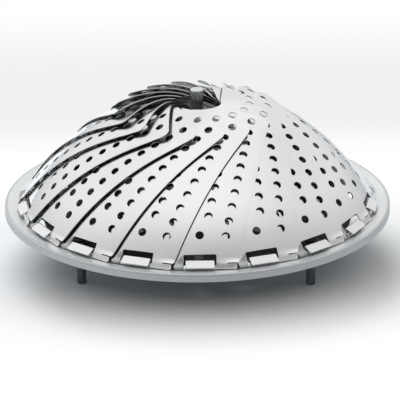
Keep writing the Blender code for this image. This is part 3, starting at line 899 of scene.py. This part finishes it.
# Legs and post, turned; the nut is the one piece with flats
legForm = {
    "count": 3,
    "placeRadius": 60.9 * mm,
    "turn": -2.2 * degrees,
    "radius": 2.15 * mm,
    "collarRadius": 3.6 * mm,
    "collar": 0.8 * mm,
    "studRadius": 1.5 * mm,
    "rivetRadius": 3.0 * mm,
    "rivetHeight": 1.2 * mm,
    "rivetDome": 0.96 * mm,
    "washerRadius": 4.4 * mm,
    "washer": 0.7 * mm,
    "footFillet": 0.6 * mm,
    "fillet": 0.15 * mm,
    "gap": 0.3 * mm,
    "sides": 64,
}
postForm = {
    "radius": 3.0 * mm,
    "topFillet": 0.6 * mm,
    "neckFillet": 0.4 * mm,
    "flangeRadius": 7.0 * mm,
    "flange": 1.2 * mm,
    "flangeFillet": 0.3 * mm,
    "fillet": 0.15 * mm,
    "studRadius": 2.5 * mm,
    "threadDepth": 0.28 * mm,
    "threadPitch": 0.8 * mm,
    "threadSteps": 8,
    "washerRadius": 6.5 * mm,
    "washer": 0.8 * mm,
    "nutRadius": 5.2 * mm,
    "nut": 4.0 * mm,
    "nutChamfer": 30.0 * degrees,
    "nutSeat": 0.97,
    "nutLip": 0.3 * mm,
    "gap": 0.3 * mm,
    "sides": 96,
}
legTurns = np.arange(legForm["count"]) * 2 * math.pi / legForm["count"]
legAngles = math.pi + legForm["turn"] + legTurns
legSpots = legForm["placeRadius"] * np.column_stack([np.sin(legAngles), -np.cos(legAngles)])
legBore, postBore = (form["studRadius"] + form["gap"] for form in (legForm, postForm))
tabMapStart = steelLooks["dish_steel"]["tabStart"] / mapScale
makeDish(dishForm, tabForm, tabMapStart, legSpots, legBore, postBore)


def washerCorners(bore, radius, bottom, top, fillet):
    # Its section, down the outer side and up the bore.
    corners = ((bore, top), (radius, top), (radius, bottom), (bore, bottom))
    return [(r, h, fillet) for r, h in corners]


def makeLegs(form):
    floor, sheet = dishForm["floorHeight"], dishForm["sheet"]
    gap, fillet = form["gap"], form["fillet"]
    collarTop = floor - gap
    washerBottom = floor + sheet + gap
    washerTop = washerBottom + form["washer"]
    headBottom = washerTop + gap
    headTop = headBottom + form["rivetHeight"]
    rod = [
        (0, headTop, 0),
        (form["rivetRadius"], headTop, form["rivetDome"]),
        (form["rivetRadius"], headBottom, fillet),
        (form["studRadius"], headBottom, fillet),
        (form["studRadius"], collarTop, fillet),
        (form["collarRadius"], collarTop, fillet),
        (form["collarRadius"], collarTop - form["collar"], fillet),
        (form["radius"], collarTop - form["collar"], fillet),
        (form["radius"], 0, form["footFillet"]),
        (0, 0, 0),
    ]
    ring = washerCorners(legBore, form["washerRadius"], washerBottom, washerTop, fillet)
    for index, angle in enumerate(legAngles):
        spot = aroundAxis(angle, form["placeRadius"])
        for name, corners, closed, finish, node in (
            (f"leg_rod_{index + 1}", rod, False, "leg_steel", f"leg_{index + 1}"),
            (f"rivet_washer_{index + 1}", ring, True, "washer_steel", f"leg_washer_{index + 1}"),
        ):
            points, faces, normals = turnedMesh(corners, form["sides"], closed)
            points, normals = moved(points, normals, spot)
            dress(addMesh(name, points, faces, normals), finish, "base", node)
    print("legs riveted")


def threadMesh(form, bottom, top):
    # A ridge that climbs one pitch a turn:
    # r = radius - depth * |2 * (z / pitch - a / turn) mod 1 - 1|.
    pitch, sides = form["threadPitch"], form["sides"]
    heights = np.linspace(bottom, top, math.ceil((top - bottom) / pitch * form["threadSteps"]))
    wave = np.abs(2 * ((heights[:, None] / pitch - np.arange(sides) / sides) % 1) - 1)
    reach = form["studRadius"] - form["threadDepth"] * wave
    rings = roundRings(zip(reach, heights), sides)[::-1]
    poles = np.array([[0, 0, top], [0, 0, bottom]])
    return np.concatenate(rings + [poles]), joinRings(len(rings), sides)


def nutMesh(form, bottom):
    # Hexagon: r = flat / cos of the angle from the nearest flat's middle. The chamfer cuts
    # its corners along a cone, so z falls with the reach past the flats.
    top, sides, lip = bottom + form["nut"], form["sides"], form["nutLip"]
    angles = np.arange(sides) * 2 * math.pi / sides
    halfFlat = math.pi / 6
    flat = form["nutRadius"] * math.cos(halfFlat)
    hexagon = flat / np.cos((angles + halfFlat) % (2 * halfFlat) - halfFlat)
    seat = flat * form["nutSeat"]
    cut = (hexagon - seat) * math.tan(form["nutChamfer"])
    rings = roundRings([
        (postBore, top - lip), (postBore + lip, top), (seat, top), (hexagon, top - cut),
        (hexagon, bottom + cut), (seat, bottom), (postBore + lip, bottom), (postBore, bottom + lip),
    ], sides)
    return np.concatenate(rings), joinRings(len(rings), sides, closed=True)


def makePost(form):
    low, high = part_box("centre_post")
    gap, fillet, sides = form["gap"], form["fillet"], form["sides"]
    flangeBottom = dishForm["floorHeight"] + dishForm["sheet"] + gap
    flangeTop = flangeBottom + form["flange"]
    post = [
        (0, high.z, 0),
        (form["radius"], high.z, form["topFillet"]),
        (form["radius"], flangeTop, form["neckFillet"]),
        (form["flangeRadius"], flangeTop, form["flangeFillet"]),
        (form["flangeRadius"], flangeBottom, fillet),
        (0, flangeBottom, 0),
    ]
    rod = addMesh("post_rod", *turnedMesh(post, sides))
    dress(rod, "post_steel", "base", "centre_post")
    thread = addMesh("post_thread", *threadMesh(form, low.z, flangeBottom + gap))
    dress(thread, "post_steel", "base", "centre_post")
    washerTop = dishForm["floorHeight"] - gap
    washerBottom = washerTop - form["washer"]
    ring = washerCorners(postBore, form["washerRadius"], washerBottom, washerTop, fillet)
    washer = addMesh("nut_washer", *turnedMesh(ring, sides, True))
    dress(washer, "post_washer_steel", "base", "post_washer")
    nut = addMesh("hex_nut", *nutMesh(form, washerBottom - gap - form["nut"]))
    dress(nut, "nut_steel", "base", "post_nut")
    print("post fixed")


makeLegs(legForm)
makePost(postForm)

# Studio: a pale floor, a broad light behind and above, and a soft fill
studio = {
    "floorSize": 6.0,
    "floorColour": (0.83, 0.865, 0.89),
    "shadowStretch": (1 / 1.5, 1, 1),
    "fadeStart": 0.041,
    "fadeEnd": 0.113,
    "backdropShade": 0.12,
    "shadeBandStart": (0.13, 0.2),
    "shadeBandEnd": (0.27, 0.4),
    "worldFill": 0.32,
    "keyPlace": (-0.25, 0.55, 0.75),
    "keySize": 0.9,
    "keyPower": 9.0,
}
mirroredRoom = {
    "low": 0.54,
    "ceiling": 0.31,
    "ceilingRange": (0.27, 0.67),
    "ceilingUp": 0.86,
    "ceilingBack": 0.51,
    "top": 0.11,
    "topRange": (0.73, 1.0),
    "front": 0.5,
    "frontRange": (0.55, 1.0),
    "side": -0.08,
    "whole": 0.99,
}


def makeFloor(look):
    # Round the basket the floor is paper that keeps its shadow. Further off, the camera
    # sees it fade to white, with a faint band of painted shade across it behind the basket.
    half = look["floorSize"] / 2
    corners = np.array([[-half, -half, 0], [half, -half, 0], [half, half, 0], [-half, half, 0]])
    floor = addMesh("studio_floor", corners, [np.array([[0, 1, 2, 3]])])
    material, tree = newMaterial("studio_floor")
    place = addNode(tree, "ShaderNodeTexCoord")["Object"]
    values = {"Vector": place, "Scale": look["shadowStretch"]}
    squeezed = addNode(tree, "ShaderNodeMapping", values=values)["Vector"]
    depth = addNode(tree, "ShaderNodeSeparateXYZ", values={"Vector": place})["Y"]
    # A band of painted shade darkens the white behind the basket.
    backdropShade = (depth.between(*look["shadeBandStart"]) - depth.between(*look["shadeBandEnd"])) * look["backdropShade"]
    values = {"Color": (*look["floorColour"], 1)}
    paper = addNode(tree, "ShaderNodeBsdfDiffuse", values=values)["BSDF"]
    tone = blendColours(tree, backdropShade, (1, 1, 1), (0, 0, 0))
    white = addNode(tree, "ShaderNodeEmission", values={"Color": tone, "Strength": 1.0})["Emission"]
    away = addNode(tree, "ShaderNodeVectorMath", {"operation": "LENGTH"}, {0: squeezed})["Value"]
    share = away.between(look["fadeStart"], look["fadeEnd"])
    path = addNode(tree, "ShaderNodeLightPath")
    seen = path["Is Camera Ray"].math("MAXIMUM", path["Is Transmission Ray"])
    values = {"Fac": share * seen, 1: paper, 2: white}
    mixed = addNode(tree, "ShaderNodeMixShader", values=values)["Shader"]
    addNode(tree, "ShaderNodeOutputMaterial", values={"Surface": mixed})
    floor.data.materials.append(material)


def makeWorld(look, room):
    # The camera sees white. What the metal mirrors depends on its direction (x, y, z):
    # a ceiling that leans back, brighter overhead, a dim front, and a left side a little
    # brighter than the right. Other rays get the soft fill.
    world = bpy.data.worlds.new("studio")
    bpy.context.scene.world = world
    world.use_nodes = True
    tree = world.node_tree
    tree.nodes.clear()
    spread = addNode(tree, "ShaderNodeTexCoord")["Generated"]
    way = addNode(tree, "ShaderNodeSeparateXYZ", values={"Vector": spread})
    leaning = way["Z"] * room["ceilingUp"] + way["Y"] * room["ceilingBack"]
    ceiling = leaning.between(*room["ceilingRange"]) * room["ceiling"]
    ceiling = ceiling + way["Z"].between(*room["topRange"]) * room["top"] + room["low"]
    front = 1 - (way["Y"] * -1).between(*room["frontRange"]) * room["front"]
    side = way["X"] * room["side"] + room["whole"]
    path = addNode(tree, "ShaderNodeLightPath")
    shown = path["Is Camera Ray"] + path["Is Transmission Ray"]
    mirrored = path["Is Glossy Ray"] * ceiling * front * side
    other = (1 - shown - path["Is Glossy Ray"]) * look["worldFill"]
    values = {"Color": (1, 1, 1, 1), "Strength": shown + mirrored + other}
    light = addNode(tree, "ShaderNodeBackground", values=values)["Background"]
    addNode(tree, "ShaderNodeOutputWorld", values={"Surface": light})


def makeKeyLight(look):
    data = bpy.data.lights.new("key", "AREA")
    data.shape, data.size, data.energy = "DISK", look["keySize"], look["keyPower"]
    key = bpy.data.objects.new("key", data)
    bpy.context.scene.collection.objects.link(key)
    # It faces the basket, and its own shape isn't mirrored in the metal.
    spot = Matrix.Translation(look["keyPlace"])
    key.matrix_world = spot @ (-spot.translation).to_track_quat("-Z", "Y").to_matrix().to_4x4()
    key.visible_glossy = False


makeFloor(studio)
makeWorld(studio, mirroredRoom)
makeKeyLight(studio)
bpy.context.scene.view_settings.view_transform = "Standard"
print("studio lit")
